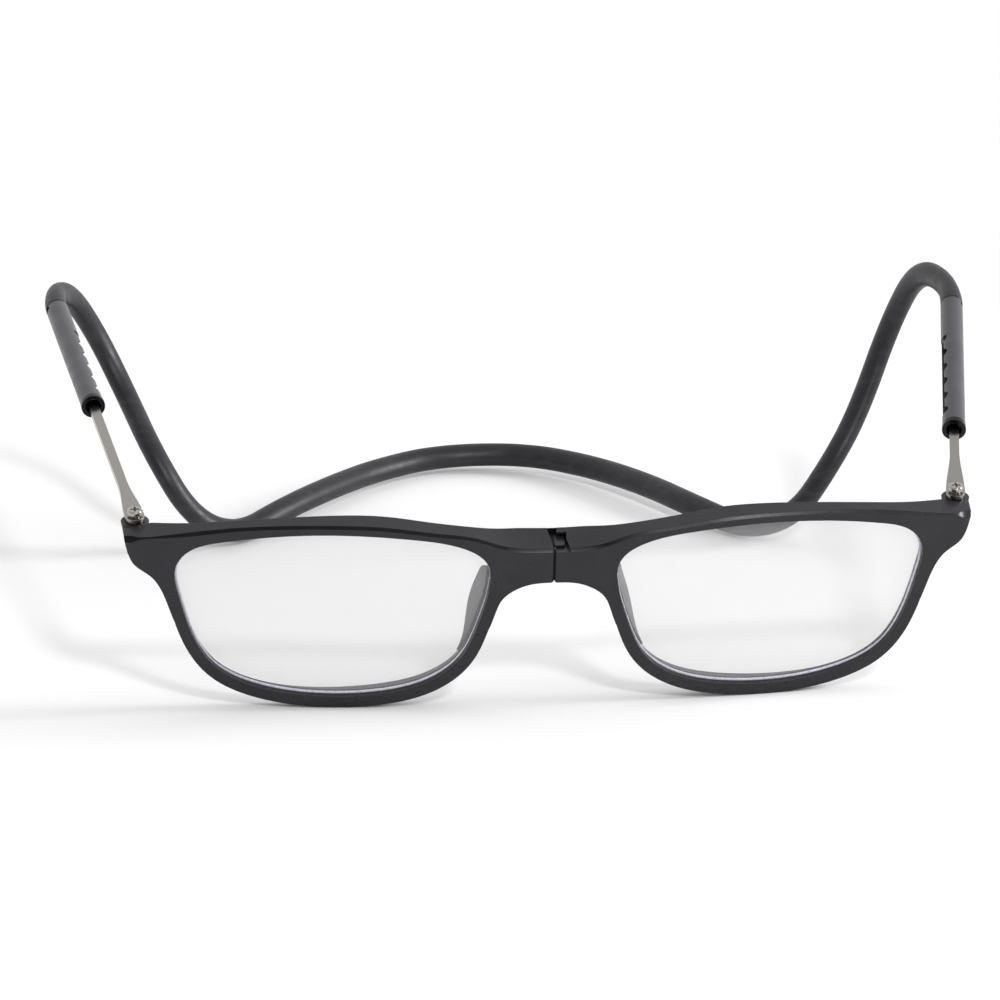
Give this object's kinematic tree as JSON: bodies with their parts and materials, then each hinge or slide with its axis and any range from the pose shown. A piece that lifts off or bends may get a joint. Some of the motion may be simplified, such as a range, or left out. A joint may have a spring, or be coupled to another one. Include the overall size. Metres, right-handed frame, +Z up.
{
  "type": "magnetic bridge reading glasses",
  "caption": "Reading glasses that part at a magnetic bridge, with sliding temples and a moulded neckband behind the head.",
  "frame": {"origin": "on the table, below the middle of the bridge seam", "axes": "+X across the face toward the right as seen from the front, +Y from the front to the neckband, +Z up from the table"},
  "size_m": [0.1604, 0.1402, 0.0537],
  "materials": {
    "frame_plastic": "satin",
    "lens_clear": "gloss",
    "magnet_nickel": "gloss",
    "screw_steel": "satin",
    "insert_brass": "satin",
    "temple_steel": "satin",
    "catch_plastic": "satin",
    "bushing_plastic": "gloss",
    "tube_plastic": "satin",
    "band_rubber": "matt"
  },
  "bodies": {
    "band_left": {"neckband_left": "band_rubber", "temple_tube_left": "tube_plastic", "tube_bushing_left": "bushing_plastic"},
    "temple_left": {"temple_bar_left": "temple_steel", "slider_catch_left": "catch_plastic"},
    "front_left": {"front_half_left": "frame_plastic", "lens_left": "lens_clear", "bridge_magnet_left": "magnet_nickel", "hinge_screw_left": "screw_steel", "hinge_insert_left": "insert_brass"},
    "band_right": {"neckband_right": "band_rubber", "temple_tube_right": "tube_plastic", "tube_bushing_right": "bushing_plastic"},
    "temple_right": {"temple_bar_right": "temple_steel", "slider_catch_right": "catch_plastic"},
    "front_right": {"front_half_right": "frame_plastic", "lens_right": "lens_clear", "bridge_magnet_right": "magnet_nickel", "hinge_screw_right": "screw_steel", "hinge_insert_right": "insert_brass"}
  },
  "joints": [
    {"name": "left_reach", "type": "slide", "parent": "band_left", "child": "temple_left", "axis": [0.1252, -0.9783, -0.1651], "range_m": [-0.0225, 0]},
    {"name": "left_fold", "type": "hinge", "parent": "temple_left", "child": "front_left", "pos_m": [-0.0685, 0.01104, 0.03293], "axis": [0, -0.2079, 0.9781], "range_deg": [-10, 90]},
    {"name": "right_reach", "type": "slide", "parent": "band_right", "child": "temple_right", "axis": [-0.1438, -0.9461, -0.2902], "range_m": [0, 0.0225]},
    {"name": "right_fold", "type": "hinge", "parent": "temple_right", "child": "front_right", "pos_m": [0.0685, 0.01104, 0.03293], "axis": [0, -0.2079, 0.9781], "range_deg": [-90, 10]},
    {"name": "neckband_flex", "type": "hinge", "parent": "band_left", "child": "band_right", "pos_m": [0, 0.13915, 0.0032], "axis": [0, 0, 1], "range_deg": [0, 35], "stiffness_Nm_per_rad": 0.05}
  ]
}
